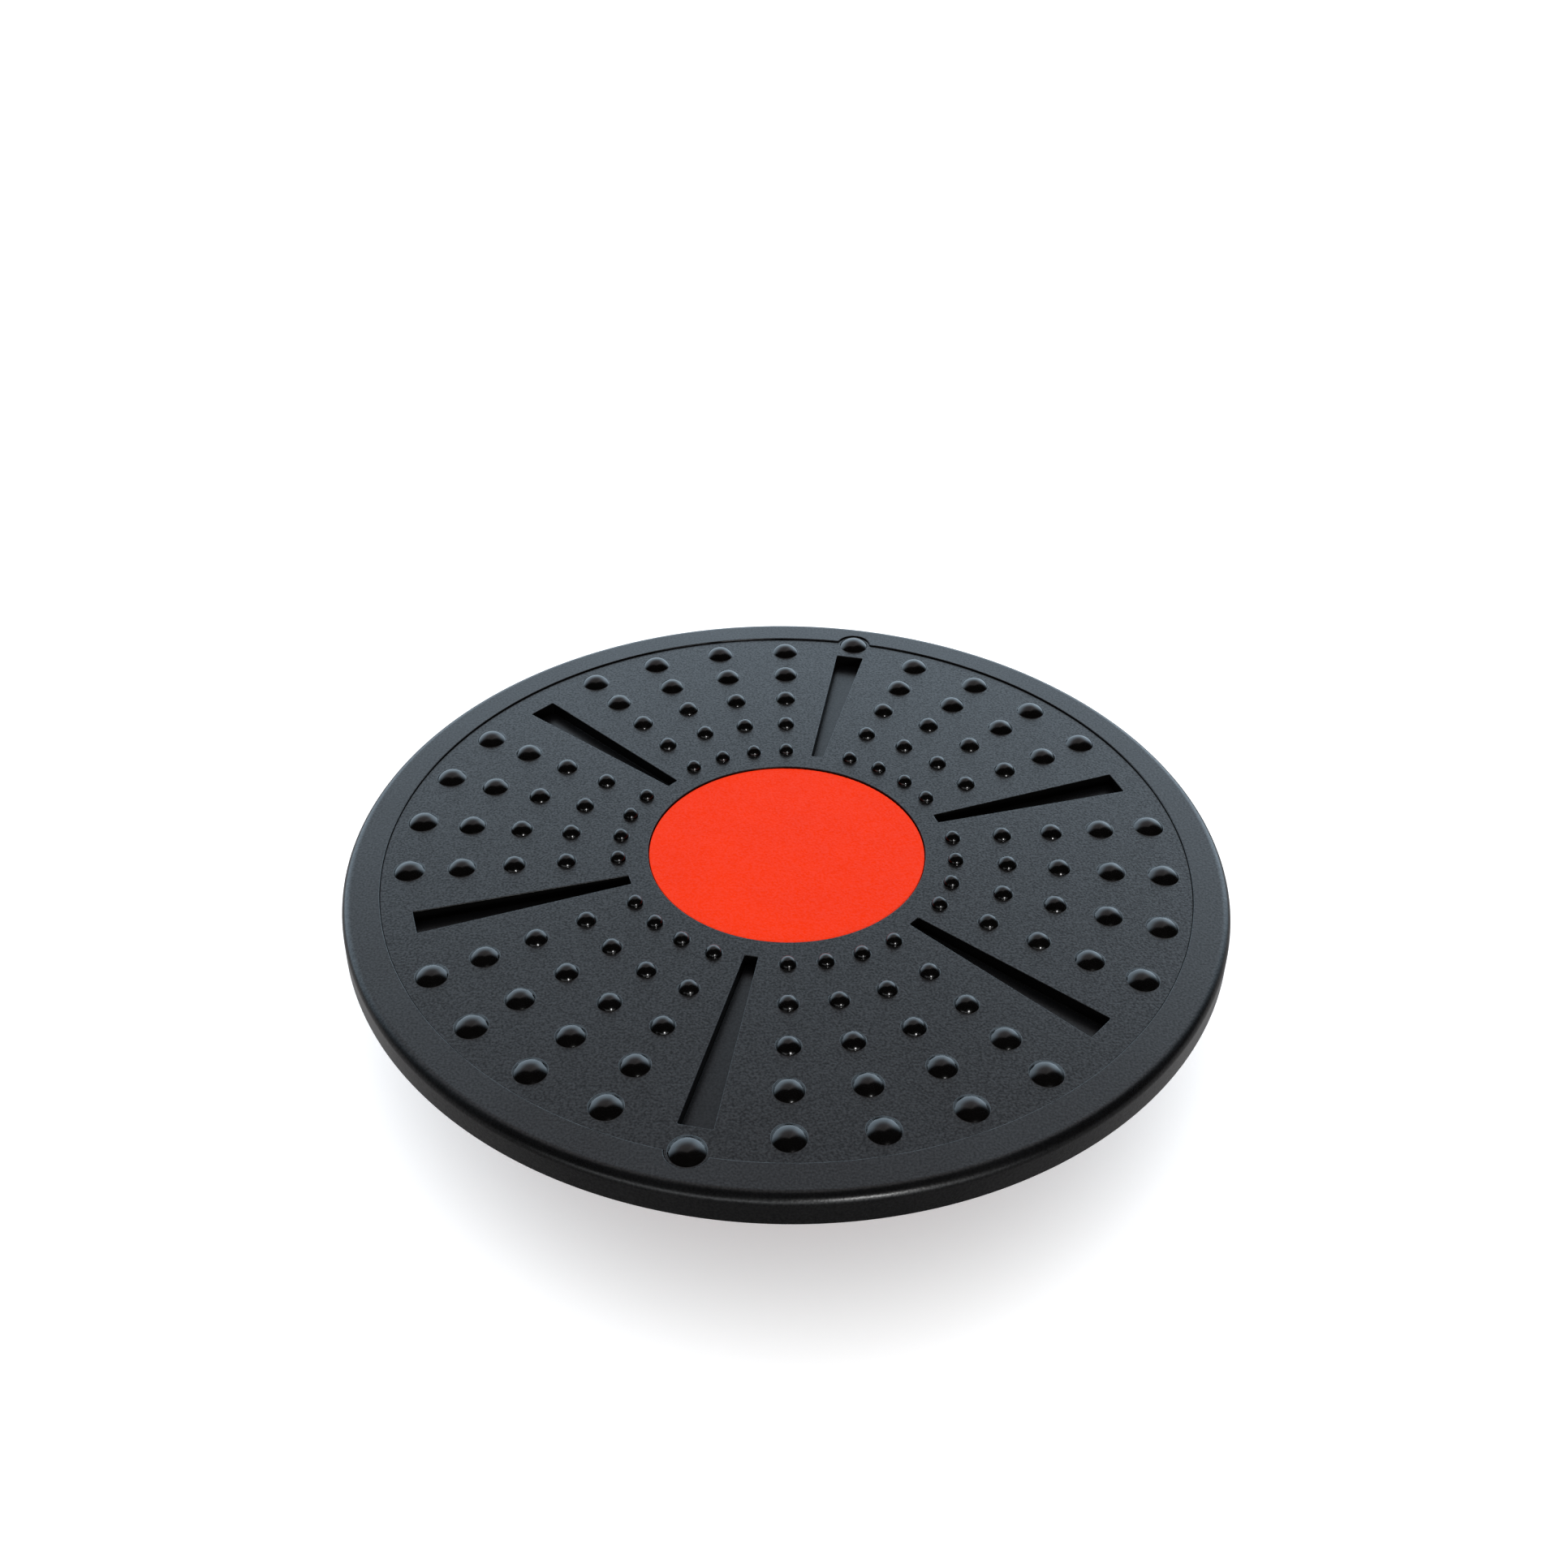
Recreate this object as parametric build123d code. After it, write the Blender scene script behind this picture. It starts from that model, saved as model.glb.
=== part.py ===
from build123d import *
from math import asin, cos, sin, sqrt
import os

# Round wobble board: a moulded deck that turns on a ball race over a domed rocker.
# Millimetres, +Z up, origin on the floor under the middle of the foot pad.

# ---- driving dimensions: deck ----------------------------------------------
RIM_R = 198.3            # outer radius at the top of the rim wall
RIM_FLARE = 0.3          # how much wider the rim is at its lower edge
RIM_DEPTH = 14.2         # top face to lower edge of the rim
RIM_ROUND = 4.4          # round-over between top face and rim wall
RIM_WALL = 3.0
DECK_TOP = 74.0          # height of the smooth outer band above the floor
STEP_R = 181.8           # the patterned field starts inside this radius
STEP_DEPTH = 0.8         # and lies this much lower than the outer band
SKIN = 3.2               # thickness of the plate under the patterned field
FIELD = DECK_TOP - STEP_DEPTH
UNDERSIDE = FIELD - SKIN

# Massage domes stand on spokes. Every fifth spoke carries a wedge slot instead.
SPOKES = 30
SPOKE_STEP = 360 / SPOKES
PHASE = 18.6             # angle of the first slot spoke from +X
SLOT_EVERY = 5
DOME_R1 = 76.7           # ring radius of the innermost domes
DOME_PITCH = 23.22       # radial step from ring to ring
DOME_DIAMETERS = (7.4, 9.0, 10.5, 12.8, 14.0)
DOME_HEIGHT = 3.6
MARKER_R = 180.0         # two larger domes sit past the ends of two opposite slots
MARKER_DIAMETER = 15.0
MARKER_SPOKES = (1, 4)   # counted in slots
MARKER_FIELD_R = 8.8     # the field bulges outwards around each of them

SLOT_R_IN = 73.5
SLOT_R_OUT = 168.1
SLOT_W_IN = 5.8
SLOT_W_OUT = 14.0
SLOT_DEPTH = 6.0
SLOT_WALL = 2.0
SLOTS = SPOKES // SLOT_EVERY

RIB = 1.8                # thickness of the ribs under the deck
RIB_FOOT = 63.0          # height of their lower edges
RIBS = 36
RIB_RINGS = (100.0, 132.0, 164.0)

# ---- driving dimensions: hub and bearing -----------------------------------
CAP_HOLE_R = 63.2        # round recess for the centre cap
CAP_GAP = 0.4
CAP_SUNK = 0.6           # cap surface below the field
CAP_THICK = 3.0
WEB_TOP = FIELD - CAP_SUNK - CAP_THICK
RACE_THICK = 2.5
RACE_R_IN = 30.0
RACE_R_OUT = 60.0
RACE_GAP = 4.0           # clear height between the two race plates
LID_TOP = 56.7
RACE_LOW_TOP = LID_TOP + RACE_THICK
RACE_UP_FOOT = RACE_LOW_TOP + RACE_GAP
WEB_FOOT = RACE_UP_FOOT + RACE_THICK
BALL_R = 3.0
BALL_CIRCLE_R = 48.0
BALLS = 24
BALL_PLAY = 0.15
BALL_Z = RACE_LOW_TOP + RACE_GAP / 2
CAGE_THICK = 2.0
CAGE_HALF_WIDTH = 5.0
SKIRT_R_IN = 64.0        # dust skirt of the deck, over the lid
SKIRT_R_OUT = 66.5
SKIRT_FOOT = 57.7
DUST_RING_R = 67.2       # inner radius of the rubber ring just outside the skirt
DUST_RING = 2.5          # its radial thickness
DUST_RING_ROOT = 1.0     # how deep it sits in the lid

BOSS_R = 18.0            # hub boss round the king bolt
BOSS_FOOT = 58.2
POCKET_R = 12.0          # bolt head pocket in the boss
POCKET_FLOOR = 62.7
BUSH_R = 6.5
BUSH_FLANGE_R = 11.5
BUSH_FLANGE = 1.5
SHOULDER_R = 5.0
RUNNING_FIT = 0.05
END_PLAY = 0.3
THREAD_R = 4.0           # M8 end of the king bolt
HEAD_R = 9.0
HEAD_THICK = 3.2
TOP_WASHER = 1.2
NUT_FLATS = 13.0
NUT_HEIGHT = 8.0
NUT_WASHER = 1.6

# ---- driving dimensions: rocker --------------------------------------------
SPHERE_R = 101.0         # rolling surface
SPHERE_Z = 97.3          # height of its centre
ROCKER_FOOT = 2.2        # the dome starts here, just above the floor
ROCKER_FOOT_R = 34.0
ROCKER_TOP = 51.7
ROCKER_R = 88.2
ROCKER_WALL = 3.5
MOUTH_R = 84.6
FLOOR_TOP = 8.0
ROCKER_RIBS = 18
ROCKER_RIB = 2.0
ROCKER_RIB_TOP = 43.0
WELL_R = 14.5            # inner ring that ties the ribs round the bolt end
WELL_TOP = 28.0
TIE_RING_R = 48.0
LID_SCREW_R = 77.0
LID_SCREW_PHASE = 30.0

PAD_R = 30.0
PAD_THICK = 4.0
PAD_ROUND = 1.0
STEM_R = 4.0

# ---- driving dimensions: M4 countersunk screws ------------------------------
SCREW_R = 1.95
SCREW_HOLE_R = 2.0
SCREW_HEAD_R = 3.8
SCREW_SINK = 0.2         # head below the surface
SCREW_DRIVE = 2.4        # width of the cross recess
RACE_SCREW_R = 37.0
SCREWS = 6

OVER = 0.5               # overrun that keeps cuts and joins clean


def tube(r_out, r_in, z_low, z_high):
    """Ring about +Z between two heights."""
    ring = Cylinder(r_out, z_high - z_low, align=(Align.CENTER, Align.CENTER, Align.MIN))
    if r_in > 0:
        bore = Cylinder(r_in, z_high - z_low, align=(Align.CENTER, Align.CENTER, Align.MIN))
        ring = ring - bore
    return Pos(0, 0, z_low) * ring


def rod(radius, x, z_low, z_high):
    """Round rod parallel to +Z whose axis crosses the X axis at x."""
    stick = Cylinder(radius, z_high - z_low, align=(Align.CENTER, Align.CENTER, Align.MIN))
    return Pos(x, 0, z_low) * stick


def turned(*edges):
    """Solid of revolution about +Z from the edges of a closed outline in the XZ plane."""
    return revolve(make_face(edges), Axis.Z, 360)


def path(*corners):
    """Straight edges through (radius, height) corners."""
    places = [Vector(r, 0, z) for r, z in corners]
    return [Edge.make_line(a, b) for a, b in zip(places, places[1:])]


def arc(start, middle, end):
    """Arc through three (radius, height) places."""
    a, b, c = [Vector(r, 0, z) for r, z in (start, middle, end)]
    return [Edge.make_three_point_arc(a, b, c)]


def spun(shape, count, phase=0.0):
    """Copies of a shape spread evenly about +Z."""
    return [Rot(0, 0, phase + 360 * i / count) * shape for i in range(count)]


def sphere_z(radius, r):
    """Height at distance r from the axis on a sphere about the rocker's centre."""
    return SPHERE_Z - sqrt(radius ** 2 - r ** 2)


# ---- deck -------------------------------------------------------------------
def deck_blank():
    """Plate, rim, skirt and hub of the deck, all turned in one outline."""
    rim_foot = DECK_TOP - RIM_DEPTH
    lower_r = RIM_R + RIM_FLARE
    round_start = (RIM_R, DECK_TOP - RIM_ROUND)
    round_end = (RIM_R - RIM_ROUND, DECK_TOP)
    lean = RIM_ROUND * (1 - sqrt(0.5))
    round_middle = (RIM_R - lean, DECK_TOP - lean)
    corners = [
        round_end,
        (CAP_HOLE_R, DECK_TOP),
        (CAP_HOLE_R, WEB_TOP),
        (POCKET_R, WEB_TOP),
        (POCKET_R, POCKET_FLOOR),
        (BUSH_R, POCKET_FLOOR),
        (BUSH_R, BOSS_FOOT),
        (BOSS_R, BOSS_FOOT),
        (BOSS_R, WEB_FOOT),
        (SKIRT_R_IN, WEB_FOOT),
        (SKIRT_R_IN, SKIRT_FOOT),
        (SKIRT_R_OUT, SKIRT_FOOT),
        (SKIRT_R_OUT, UNDERSIDE),
        (RIM_R - RIM_WALL, UNDERSIDE),
        (lower_r - RIM_WALL, rim_foot + RIB),
        (lower_r - RIM_WALL + 1.0, rim_foot),
        (lower_r - 0.8, rim_foot),
        (lower_r, rim_foot + 0.8),
        round_start,
    ]
    return turned(*path(*corners), *arc(round_start, round_middle, round_end))


def wedge(r_in, r_out, w_in, w_out, z_low, z_high):
    """Radial block along +X that widens from w_in to w_out."""
    corners = [(r_in, -w_in / 2), (r_out, -w_out / 2), (r_out, w_out / 2), (r_in, w_in / 2)]
    face = make_face(Polyline(*corners, close=True))
    return Pos(0, 0, z_low) * extrude(face, z_high - z_low)


def dome(diameter, r, z):
    """Spherical cap of DOME_HEIGHT on the X axis at distance r, with a root in the plate."""
    half = diameter / 2
    ball_r = (half ** 2 + DOME_HEIGHT ** 2) / (2 * DOME_HEIGHT)
    lift = DOME_HEIGHT - ball_r
    bend = asin(half / ball_r) / 2
    reach = ball_r * sin(bend)
    rise = lift + ball_r * cos(bend)
    root = [(half, 0), (half, -OVER), (0, -OVER), (0, DOME_HEIGHT)]
    cap = turned(*path(*root), *arc((0, DOME_HEIGHT), (reach, rise), (half, 0)))
    return Pos(r, 0, z) * cap


def dome_field():
    """Five rings of domes on every plain spoke, and the two markers."""
    domes = []
    for ring, diameter in enumerate(DOME_DIAMETERS):
        one = dome(diameter, DOME_R1 + ring * DOME_PITCH, FIELD)
        for spoke in range(SPOKES):
            if spoke % SLOT_EVERY:
                domes.append(Rot(0, 0, PHASE + spoke * SPOKE_STEP) * one)
    marker = dome(MARKER_DIAMETER, MARKER_R, FIELD)
    for slot in MARKER_SPOKES:
        domes.append(Rot(0, 0, PHASE + 360 * slot / SLOTS) * marker)
    return domes


def snap_window():
    """Hole in the hub web for one snap leg of the centre cap."""
    hole = Box(2.4, 6.6, WEB_TOP - WEB_FOOT + 2 * OVER, align=(Align.MIN, Align.CENTER, Align.MIN))
    return Pos(22.9, 0, WEB_FOOT - OVER) * hole


def deck_plate():
    """The whole moulding: blank, stiffening ribs, slot trays, then the sunk field and slots."""
    deck = deck_blank()
    rib = Pos(SKIRT_R_OUT - 1.0, 0, RIB_FOOT) * Box(
        RIM_R - RIM_WALL - SKIRT_R_OUT + 2.0,
        RIB,
        UNDERSIDE - RIB_FOOT + OVER,
        align=(Align.MIN, Align.CENTER, Align.MIN),
    )
    tray = wedge(
        SLOT_R_IN - SLOT_WALL,
        SLOT_R_OUT + SLOT_WALL,
        SLOT_W_IN + 2 * SLOT_WALL,
        SLOT_W_OUT + 2 * SLOT_WALL,
        FIELD - SLOT_DEPTH - SLOT_WALL,
        UNDERSIDE + OVER,
    )
    rings = [tube(r + RIB / 2, r - RIB / 2, RIB_FOOT, UNDERSIDE + OVER) for r in RIB_RINGS]
    deck = deck + spun(rib, RIBS, PHASE) + spun(tray, SLOTS, PHASE) + rings

    field = tube(STEP_R, 0, FIELD, DECK_TOP + OVER)
    for slot in MARKER_SPOKES:
        bulge = rod(MARKER_FIELD_R, MARKER_R, FIELD, DECK_TOP + OVER)
        field = field + Rot(0, 0, PHASE + 360 * slot / SLOTS) * bulge
    slot_cut = wedge(SLOT_R_IN, SLOT_R_OUT, SLOT_W_IN, SLOT_W_OUT, FIELD - SLOT_DEPTH, DECK_TOP)
    screw_cut = screw_seat(RACE_SCREW_R, WEB_TOP, WEB_FOOT - OVER)
    cuts = [field]
    cuts += spun(slot_cut, SLOTS, PHASE)
    cuts += spun(screw_cut, SCREWS)
    cuts += spun(snap_window(), 3, SPOKE_STEP)
    return deck - cuts + dome_field()


def center_cap():
    """Cover disc with a softened edge and three snap legs through the hub web."""
    cap_r = CAP_HOLE_R - CAP_GAP
    disc = tube(cap_r, 0, WEB_TOP, WEB_TOP + CAP_THICK)
    disc = fillet(disc.edges().group_by(Axis.Z)[-1], 0.4)
    leg_foot = WEB_FOOT - 1.4
    leg = Pos(23.2, 0, leg_foot) * Box(
        1.8, 6.0, WEB_TOP - leg_foot + OVER, align=(Align.MIN, Align.CENTER, Align.MIN)
    )
    hook = Pos(24.0, 0, leg_foot) * Box(2.1, 6.0, 1.2, align=(Align.MIN, Align.CENTER, Align.MIN))
    return disc + spun(leg + hook, 3, SPOKE_STEP)


def hub_bush():
    """Flanged plain bearing pressed into the hub boss."""
    bore = SHOULDER_R + RUNNING_FIT
    sleeve = tube(BUSH_R, bore, BOSS_FOOT, POCKET_FLOOR)
    return sleeve + tube(BUSH_FLANGE_R, bore, POCKET_FLOOR, POCKET_FLOOR + BUSH_FLANGE)


# ---- screws -----------------------------------------------------------------
def screw_seat(r, surface, hole_foot):
    """Countersunk clearance hole at distance r below a flat surface."""
    mouth = SCREW_HEAD_R + SCREW_SINK
    cone_foot = surface - mouth + SCREW_HOLE_R
    sink = Cone(SCREW_HOLE_R, mouth, mouth - SCREW_HOLE_R, align=(Align.CENTER, Align.CENTER, Align.MIN))
    hole = rod(SCREW_HOLE_R, r, hole_foot, cone_foot + OVER)
    return hole + Pos(r, 0, cone_foot) * sink


def screw(r, surface, tip):
    """Countersunk screw at distance r, its head SCREW_SINK below the surface."""
    head_top = surface - SCREW_SINK
    cone = SCREW_HEAD_R - SCREW_R
    head = Cone(SCREW_R, SCREW_HEAD_R, cone, align=(Align.CENTER, Align.CENTER, Align.MIN))
    body = rod(SCREW_R, r, tip + 1.0, head_top - cone + OVER) + Pos(r, 0, head_top - cone) * head
    point = Cone(0.8, SCREW_R, 1.0, align=(Align.CENTER, Align.CENTER, Align.MIN))
    bar = Box(SCREW_DRIVE * 1.6, 0.8, 1.0, align=(Align.CENTER, Align.CENTER, Align.MAX))
    cross = Pos(r, 0, head_top) * (bar + Rot(0, 0, 90) * bar)
    return body + Pos(r, 0, tip) * point - cross


# ---- bearing ----------------------------------------------------------------
def race_groove():
    """Ring-shaped space that the balls roll in."""
    return Pos(0, 0, BALL_Z) * Torus(BALL_CIRCLE_R, BALL_R + BALL_PLAY)


def upper_race_plate():
    plate = tube(RACE_R_OUT, RACE_R_IN, RACE_UP_FOOT, WEB_FOOT) - race_groove()
    return plate - spun(rod(SCREW_HOLE_R, RACE_SCREW_R, RACE_UP_FOOT - OVER, WEB_FOOT + OVER), SCREWS)


def lower_race_plate():
    plate = tube(RACE_R_OUT, RACE_R_IN, LID_TOP, RACE_LOW_TOP) - race_groove()
    return plate - spun(screw_seat(RACE_SCREW_R, RACE_LOW_TOP, LID_TOP - OVER), SCREWS)


def ball_cage():
    """Flat ring with one round window for each ball."""
    low = BALL_Z - CAGE_THICK / 2
    ring = tube(BALL_CIRCLE_R + CAGE_HALF_WIDTH, BALL_CIRCLE_R - CAGE_HALF_WIDTH, low, low + CAGE_THICK)
    return ring - spun(rod(BALL_R + 0.1, BALL_CIRCLE_R, low - OVER, low + CAGE_THICK + OVER), BALLS)


def bearing_balls():
    return spun(Pos(BALL_CIRCLE_R, 0, BALL_Z) * Sphere(BALL_R), BALLS)


# ---- king bolt --------------------------------------------------------------
def king_bolt():
    """Shoulder bolt that holds the deck down on the rocker."""
    head_foot = POCKET_FLOOR + BUSH_FLANGE + END_PLAY + TOP_WASHER
    head_top = head_foot + HEAD_THICK
    head = fillet(tube(HEAD_R, 0, head_foot, head_top).edges().group_by(Axis.Z)[-1], 0.8)
    shoulder = tube(SHOULDER_R, 0, ROCKER_TOP, head_foot)
    thread_foot = nut_top() - NUT_HEIGHT - 1.1
    thread = chamfer(tube(THREAD_R, 0, thread_foot, ROCKER_TOP).edges().group_by(Axis.Z)[0], 0.6)
    socket = Pos(0, 0, head_top - 1.8) * extrude(RegularPolygon(3.0, 6), 1.8 + OVER)
    return head + shoulder + thread - socket


def king_thrust_washer():
    low = POCKET_FLOOR + BUSH_FLANGE + END_PLAY
    return tube(BUSH_FLANGE_R - 0.5, SHOULDER_R + 0.1, low, low + TOP_WASHER)


def lid_boss_foot():
    return ROCKER_TOP - 8.0


def nut_top():
    return lid_boss_foot() - NUT_WASHER


def king_nut_washer():
    return tube(HEAD_R, THREAD_R + 0.1, nut_top(), lid_boss_foot())


def king_lock_nut():
    """Hexagon nut with the round collar that holds its locking ring."""
    low = nut_top() - NUT_HEIGHT
    hexagon = Pos(0, 0, low + 1.8) * extrude(
        RegularPolygon(NUT_FLATS / 2, 6, major_radius=False), NUT_HEIGHT - 1.8
    )
    collar = fillet(tube(NUT_FLATS / 2 - 0.4, 0, low, low + 2.0).edges().group_by(Axis.Z)[0], 0.8)
    return hexagon + collar - tube(THREAD_R, 0, low - OVER, nut_top() + OVER)


def hub_thrust_washer():
    return tube(BOSS_R - 1.0, SHOULDER_R + 0.5, LID_TOP, BOSS_FOOT - END_PLAY)


# ---- rocker -----------------------------------------------------------------
def rocker_outside(top):
    """Closed solid of the rocker's outer shape: flat foot, rolling surface, collar."""
    collar_z = sphere_z(SPHERE_R, ROCKER_R - 0.2)
    start = (ROCKER_FOOT_R, ROCKER_FOOT)
    middle = (66.0, sphere_z(SPHERE_R, 66.0))
    end = (ROCKER_R - 0.2, collar_z)
    sides = [end, (ROCKER_R, top), (0, top), (0, ROCKER_FOOT), start]
    return turned(*path(*sides), *arc(start, middle, end))


def rocker_inside():
    """Space inside the rocker's wall, from its floor up through the mouth."""
    radius = SPHERE_R - ROCKER_WALL
    floor_r = sqrt(radius ** 2 - (SPHERE_Z - FLOOR_TOP) ** 2)
    start = (floor_r, FLOOR_TOP)
    middle = (66.0, sphere_z(radius, 66.0))
    end = (MOUTH_R, sphere_z(radius, MOUTH_R))
    sides = [end, (MOUTH_R, ROCKER_TOP + OVER), (0, ROCKER_TOP + OVER), (0, FLOOR_TOP), start]
    return turned(*path(*sides), *arc(start, middle, end))


def rocker_rib():
    """Radial rib along +X, cut low near the middle to clear the bolt end."""
    corners = [(WELL_R - 1.0, 5.0), (MOUTH_R + 1.0, 5.0), (MOUTH_R + 1.0, ROCKER_RIB_TOP),
               (WELL_R + 14.0, ROCKER_RIB_TOP), (WELL_R - 1.0, WELL_TOP)]
    places = [(r, 0, z) for r, z in corners]
    face = make_face(Polyline(*places, close=True))
    return extrude(face, ROCKER_RIB / 2, dir=(0, 1, 0), both=True)


def rocker_dome():
    """Hollow bowl with ribs and screw bosses inside, and a shallow seat for the foot pad."""
    outside = rocker_outside(ROCKER_TOP)
    shell = outside - rocker_inside()
    ribs = tube(WELL_R, WELL_R - 2.5, 5.0, WELL_TOP) + spun(rocker_rib(), ROCKER_RIBS, LID_SCREW_PHASE)
    ribs = ribs + tube(TIE_RING_R, TIE_RING_R - ROCKER_RIB, 5.0, ROCKER_RIB_TOP)
    ribs = ribs + spun(rod(4.5, LID_SCREW_R, 36.0, ROCKER_TOP), SCREWS, LID_SCREW_PHASE)
    bowl = shell + (ribs & outside)
    seat = tube(PAD_R + 0.3, 0, ROCKER_FOOT - OVER, PAD_THICK)
    stem_hole = tube(STEM_R + 0.1, 0, PAD_THICK - OVER, FLOOR_TOP + OVER)
    pilot = rod(SCREW_HOLE_R, LID_SCREW_R, 40.2, ROCKER_TOP + OVER)
    return bowl - [seat, stem_hole, *spun(pilot, SCREWS, LID_SCREW_PHASE)]


def rocker_lid():
    """Plate over the bowl: carries the lower race, the king bolt and the dust ring."""
    plate = tube(ROCKER_R, 0, ROCKER_TOP, LID_TOP)
    plate = fillet(plate.edges().group_by(Axis.Z)[-1], 1.5)
    spigot = tube(MOUTH_R - 0.3, MOUTH_R - 2.6, ROCKER_TOP - 2.5, ROCKER_TOP + OVER)
    boss = tube(13.0, 0, lid_boss_foot(), ROCKER_TOP + OVER)
    post = rod(4.5, RACE_SCREW_R, ROCKER_TOP - 6.0, ROCKER_TOP + OVER)
    rib = Pos(12.0, 0, ROCKER_TOP - 5.0) * Box(
        MOUTH_R - 13.0, 2.5, 5.0 + OVER, align=(Align.MIN, Align.CENTER, Align.MIN)
    )
    rib = rib & tube(MOUTH_R - 2.0, 0, 0, LID_TOP)
    lid = plate + spigot + boss + spun(post, SCREWS) + spun(rib, SCREWS)
    cuts = [
        tube(DUST_RING_R + DUST_RING, DUST_RING_R, LID_TOP - DUST_RING_ROOT, LID_TOP + OVER),
        tube(SHOULDER_R + RUNNING_FIT, 0, ROCKER_TOP, LID_TOP + OVER),
        tube(THREAD_R + 0.1, 0, lid_boss_foot() - OVER, ROCKER_TOP + OVER),
    ]
    cuts += spun(rod(SCREW_HOLE_R, RACE_SCREW_R, ROCKER_TOP - 5.0, LID_TOP + OVER), SCREWS)
    cuts += spun(screw_seat(LID_SCREW_R, LID_TOP, ROCKER_TOP - OVER), SCREWS, LID_SCREW_PHASE)
    return lid - cuts


def dust_ring():
    """Rubber ring that keeps grit away from the race."""
    ring = tube(DUST_RING_R + DUST_RING, DUST_RING_R, LID_TOP - DUST_RING_ROOT, LID_TOP + 3.0)
    return fillet(ring.edges().group_by(Axis.Z)[-1], 0.6)


def foot_pad():
    """Flat rubber foot with two grip grooves and a barbed stem through the bowl's floor."""
    lean = PAD_ROUND * (1 - sqrt(0.5))
    start = (PAD_R - PAD_ROUND, 0)
    end = (PAD_R, PAD_ROUND)
    barb = FLOOR_TOP + 0.2
    sides = [end, (PAD_R, PAD_THICK), (STEM_R, PAD_THICK), (STEM_R, barb), (STEM_R + 1.2, barb + 0.2),
             (STEM_R - 0.8, barb + 2.4), (0, barb + 2.4), (0, 0), start]
    pad = turned(*path(*sides), *arc(start, (PAD_R - lean, lean), end))
    grooves = [tube(r + 2.0, r, -OVER, 1.0) for r in (11.0, 20.0)]
    return pad - grooves


# ---- write every piece --------------------------------------------------------
PIECES = {
    "deck_plate": deck_plate(),
    "center_cap": center_cap(),
    "upper_race_plate": upper_race_plate(),
    "upper_race_screws": spun(screw(RACE_SCREW_R, WEB_TOP, RACE_UP_FOOT + 0.2), SCREWS),
    "hub_bush": hub_bush(),
    "ball_cage": ball_cage(),
    "bearing_balls": bearing_balls(),
    "rocker_dome": rocker_dome(),
    "rocker_lid": rocker_lid(),
    "lid_screws": spun(screw(LID_SCREW_R, LID_TOP, 40.5), SCREWS, LID_SCREW_PHASE),
    "lower_race_plate": lower_race_plate(),
    "lower_race_screws": spun(screw(RACE_SCREW_R, RACE_LOW_TOP, ROCKER_TOP - 4.8), SCREWS),
    "dust_ring": dust_ring(),
    "hub_thrust_washer": hub_thrust_washer(),
    "king_bolt": king_bolt(),
    "king_thrust_washer": king_thrust_washer(),
    "king_nut_washer": king_nut_washer(),
    "king_lock_nut": king_lock_nut(),
    "foot_pad": foot_pad(),
}

os.makedirs("parts", exist_ok=True)
for name, piece in PIECES.items():
    shape = Compound(children=piece) if isinstance(piece, list) else piece
    export_step(shape, f"parts/{name}.step")
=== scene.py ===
import bpy
import math
from mathutils import Matrix, Vector
from mathutils.geometry import delaunay_2d_cdt


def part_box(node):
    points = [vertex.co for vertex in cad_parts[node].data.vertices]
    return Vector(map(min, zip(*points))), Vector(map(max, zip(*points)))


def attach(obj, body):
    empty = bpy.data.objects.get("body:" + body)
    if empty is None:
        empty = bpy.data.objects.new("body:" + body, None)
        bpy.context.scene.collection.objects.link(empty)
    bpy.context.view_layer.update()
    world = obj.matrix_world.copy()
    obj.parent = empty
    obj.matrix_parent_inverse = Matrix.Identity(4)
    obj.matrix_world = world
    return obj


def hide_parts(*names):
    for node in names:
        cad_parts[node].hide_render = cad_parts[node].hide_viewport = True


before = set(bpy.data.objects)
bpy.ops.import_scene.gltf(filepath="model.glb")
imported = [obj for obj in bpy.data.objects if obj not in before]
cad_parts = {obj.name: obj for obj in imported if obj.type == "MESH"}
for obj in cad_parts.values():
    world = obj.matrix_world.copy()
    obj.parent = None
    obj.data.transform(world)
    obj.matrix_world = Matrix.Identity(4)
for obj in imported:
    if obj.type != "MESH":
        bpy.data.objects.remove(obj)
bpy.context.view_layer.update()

# Sizes are in millimetres. What the CAD frame can tell is read from it.
MM = 0.001


def node_box(name):
    """Lowest and highest corner of a CAD node, in millimetres."""
    low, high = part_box(name)
    return Vector(low) / MM, Vector(high) / MM


deck_low, deck_high = node_box("deck_plate")
cap_low, cap_high = node_box("center_cap")
bush_low, bush_high = node_box("hub_bush")

# ---- deck sizes ---------------------------------------------------------------
DOME_HEIGHT = 3.6
STEP_DEPTH = 0.8
FIELD = deck_high.z - DOME_HEIGHT        # patterned field
DECK_TOP = FIELD + STEP_DEPTH            # smooth outer band
LOWER_R = deck_high.x
RIM_R = LOWER_R - 0.3
RIM_ROUND = 4.4
RIM_WALL = 3.0
RIM_FOOT = DECK_TOP - 14.2
RIM_FOOT_ROUND = 0.8
SKIN = 3.2
UNDERSIDE = FIELD - SKIN

STEP_R = 181.8
STEP_LIP = 0.45                          # rounding of the step's upper edge
GROOVE_DEPTH = 0.25                      # fine groove at the foot of the step
GROOVE_WIDTH = 0.30
PHASE = 18.6
SPOKES = 30
SLOT_EVERY = 5
SLOTS = SPOKES // SLOT_EVERY
DOME_R1 = 76.7
DOME_PITCH = 23.22
DOME_DIAMETERS = (7.4, 9.0, 10.5, 12.8, 14.0)
DOME_ROOT = 0.35                         # fillet where a dome meets the field
MARKER_R = 180.0
MARKER_DIAMETER = 15.0
MARKER_SLOTS = (1, 4)
MARKER_FIELD_R = 8.8

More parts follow.
